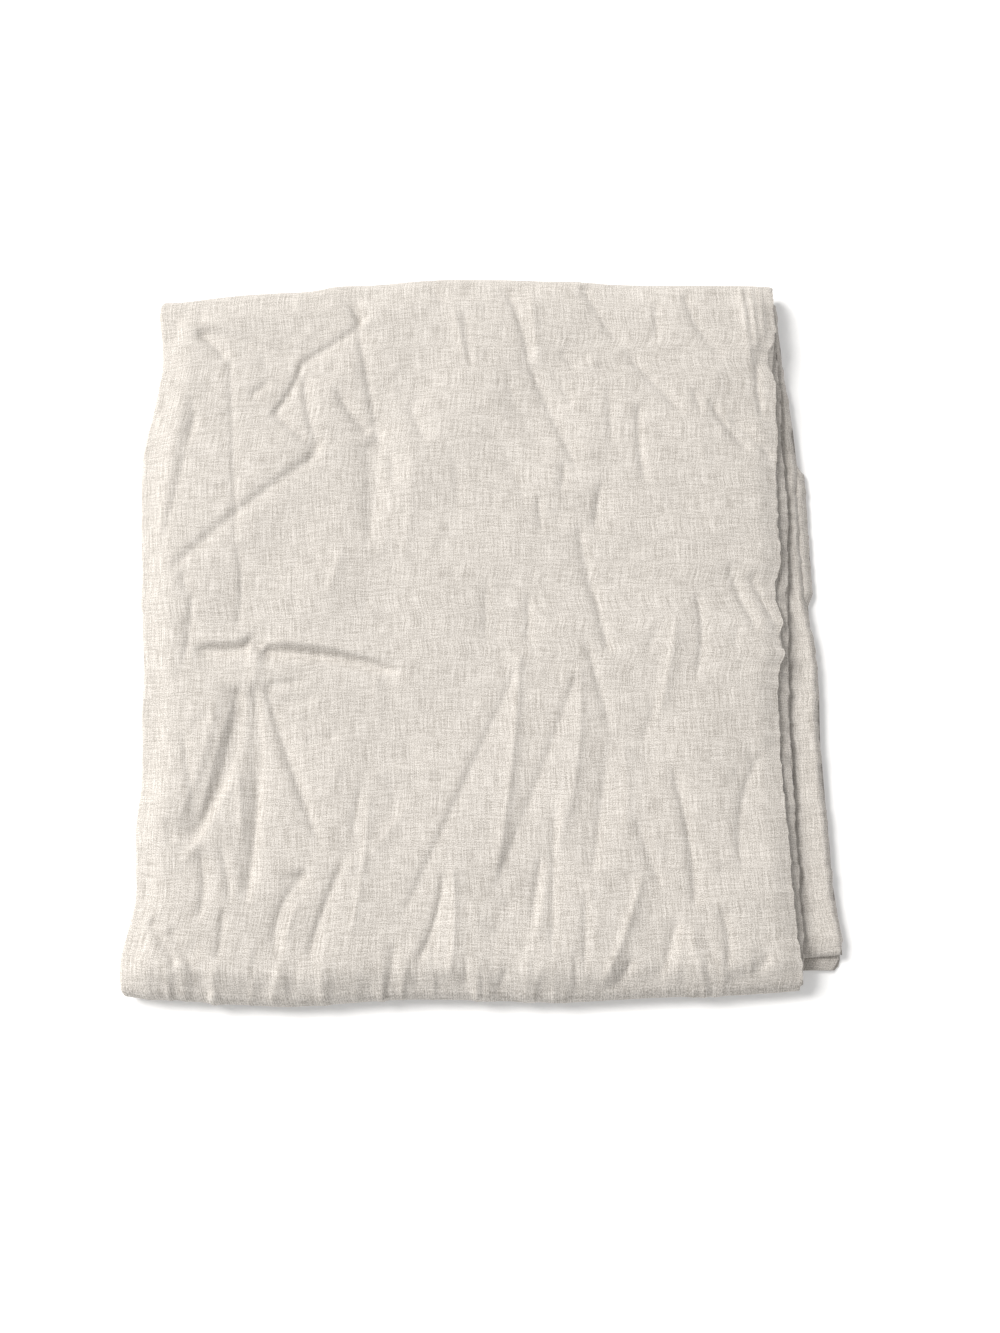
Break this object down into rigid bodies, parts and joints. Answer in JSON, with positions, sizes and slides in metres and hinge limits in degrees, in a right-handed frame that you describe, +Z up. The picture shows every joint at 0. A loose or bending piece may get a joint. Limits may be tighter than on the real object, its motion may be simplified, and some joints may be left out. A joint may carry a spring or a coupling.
{
  "type": "folded duvet cover",
  "caption": "Soft doubled cloth cover, folded across and along into a flat, uneven, creased bundle that lies on a shelf or table.",
  "frame": {"origin": "centre of the bounding box's underside, on the surface that the bundle lies on", "axes": "+X right across the bundle towards its open sewn edges, +Y away from the near folded edge, +Z up"},
  "size_m": [0.5391, 0.5896, 0.0376],
  "materials": {
    "cloth": "matt washed linen weave, warm off-white, slubby"
  },
  "bodies": {
    "root": {"folded_cover": "cloth"}
  },
  "joints": []
}
